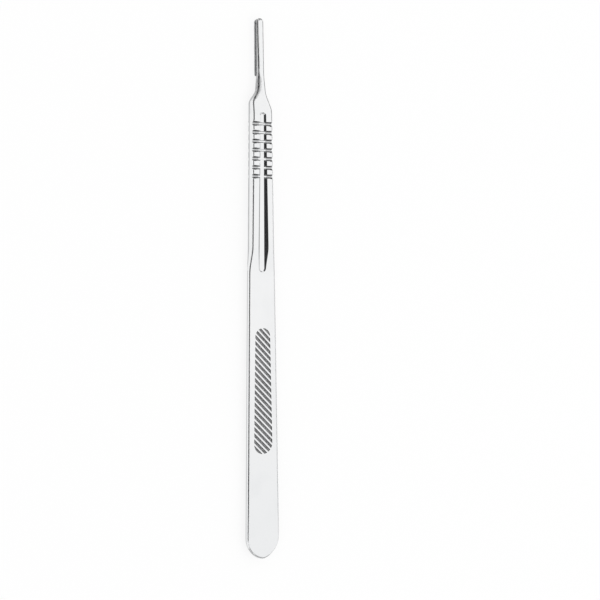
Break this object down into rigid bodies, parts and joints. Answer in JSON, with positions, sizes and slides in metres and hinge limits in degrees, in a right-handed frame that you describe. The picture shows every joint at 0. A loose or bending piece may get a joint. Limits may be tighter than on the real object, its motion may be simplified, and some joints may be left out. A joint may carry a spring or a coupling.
{
  "type": "scalpel handle",
  "caption": "Long one-piece steel scalpel handle with a slotted blade fitting, notched and channelled neck, and a flat hatched grip.",
  "frame": {"origin": "middle of the footprint, on the plane that the rear face rests on", "axes": "+Y along the handle towards the blade fitting, +Z out of the front face, +X to the right with the fitting up"},
  "size_m": [0.0144, 0.21, 0.0047],
  "materials": {
    "polished_steel": "bright polished stainless steel"
  },
  "bodies": {
    "root": {"scalpel_handle": "polished_steel"}
  },
  "joints": []
}
